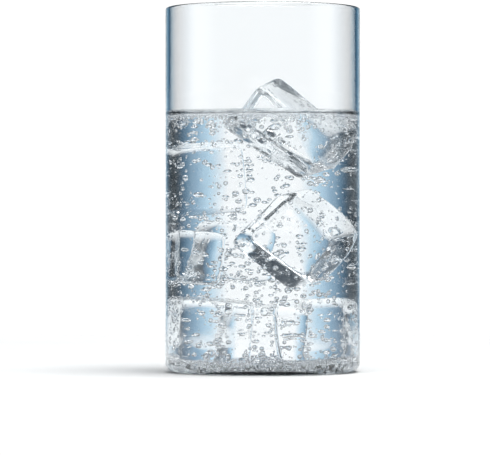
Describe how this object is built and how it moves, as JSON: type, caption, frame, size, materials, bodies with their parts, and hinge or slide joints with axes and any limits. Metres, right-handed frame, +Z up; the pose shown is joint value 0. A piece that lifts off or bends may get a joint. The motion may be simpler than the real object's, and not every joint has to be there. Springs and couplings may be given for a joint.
{
  "type": "pint glass of sparkling water",
  "caption": "Straight-sided clear pint tumbler filled with sparkling water and blocks of ice, with gas bubbles on the wall and floor; the top block lifts out.",
  "frame": {"origin": "centre of the underside, on the glass's axis", "axes": "+Z up the glass's axis, +X to the right and +Y to the back as the drinker faces it"},
  "size_m": [0.076, 0.076, 0.142],
  "materials": {
    "glass": "polished",
    "water": "gloss",
    "ice": "gloss",
    "gas": "polished"
  },
  "bodies": {
    "glass": {"glass": "glass", "water": "water", "wall_bubbles": "gas", "floor_bubbles": "gas", "ring_bubbles": "gas", "stream_bubbles": "gas"},
    "ice_top": {"ice_top": "ice"},
    "ice_upper_left": {"ice_upper_left": "ice"},
    "ice_middle_right": {"ice_middle_right": "ice"},
    "ice_middle_left": {"ice_middle_left": "ice"},
    "ice_middle_back": {"ice_middle_back": "ice"},
    "ice_lower_left": {"ice_lower_left": "ice"},
    "ice_lower_right": {"ice_lower_right": "ice"},
    "ice_lower_back": {"ice_lower_back": "ice"}
  },
  "joints": [
    {"name": "ice_top_lift", "type": "slide", "parent": "glass", "child": "ice_top", "axis": [0, 0, 1], "range_m": [0, 0.08], "deforming": ["water"]},
    {"name": "ice_upper_left_bob", "type": "slide", "parent": "glass", "child": "ice_upper_left", "axis": [0, 0, 1], "range_m": [0, 0.002], "deforming": ["water"]},
    {"name": "ice_middle_right_bob", "type": "slide", "parent": "glass", "child": "ice_middle_right", "axis": [0, 0, 1], "range_m": [0, 0.002], "deforming": ["water"]},
    {"name": "ice_middle_left_bob", "type": "slide", "parent": "glass", "child": "ice_middle_left", "axis": [0, 0, 1], "range_m": [0, 0.002], "deforming": ["water"]},
    {"name": "ice_middle_back_bob", "type": "slide", "parent": "glass", "child": "ice_middle_back", "axis": [0, 0, 1], "range_m": [0, 0.002], "deforming": ["water"]},
    {"name": "ice_lower_left_bob", "type": "slide", "parent": "glass", "child": "ice_lower_left", "axis": [0, 0, 1], "range_m": [0, 0.002], "deforming": ["water"]},
    {"name": "ice_lower_right_bob", "type": "slide", "parent": "glass", "child": "ice_lower_right", "axis": [0, 0, 1], "range_m": [0, 0.002], "deforming": ["water"]},
    {"name": "ice_lower_back_bob", "type": "slide", "parent": "glass", "child": "ice_lower_back", "axis": [0, 0, 1], "range_m": [0, 0.002], "deforming": ["water"]}
  ]
}
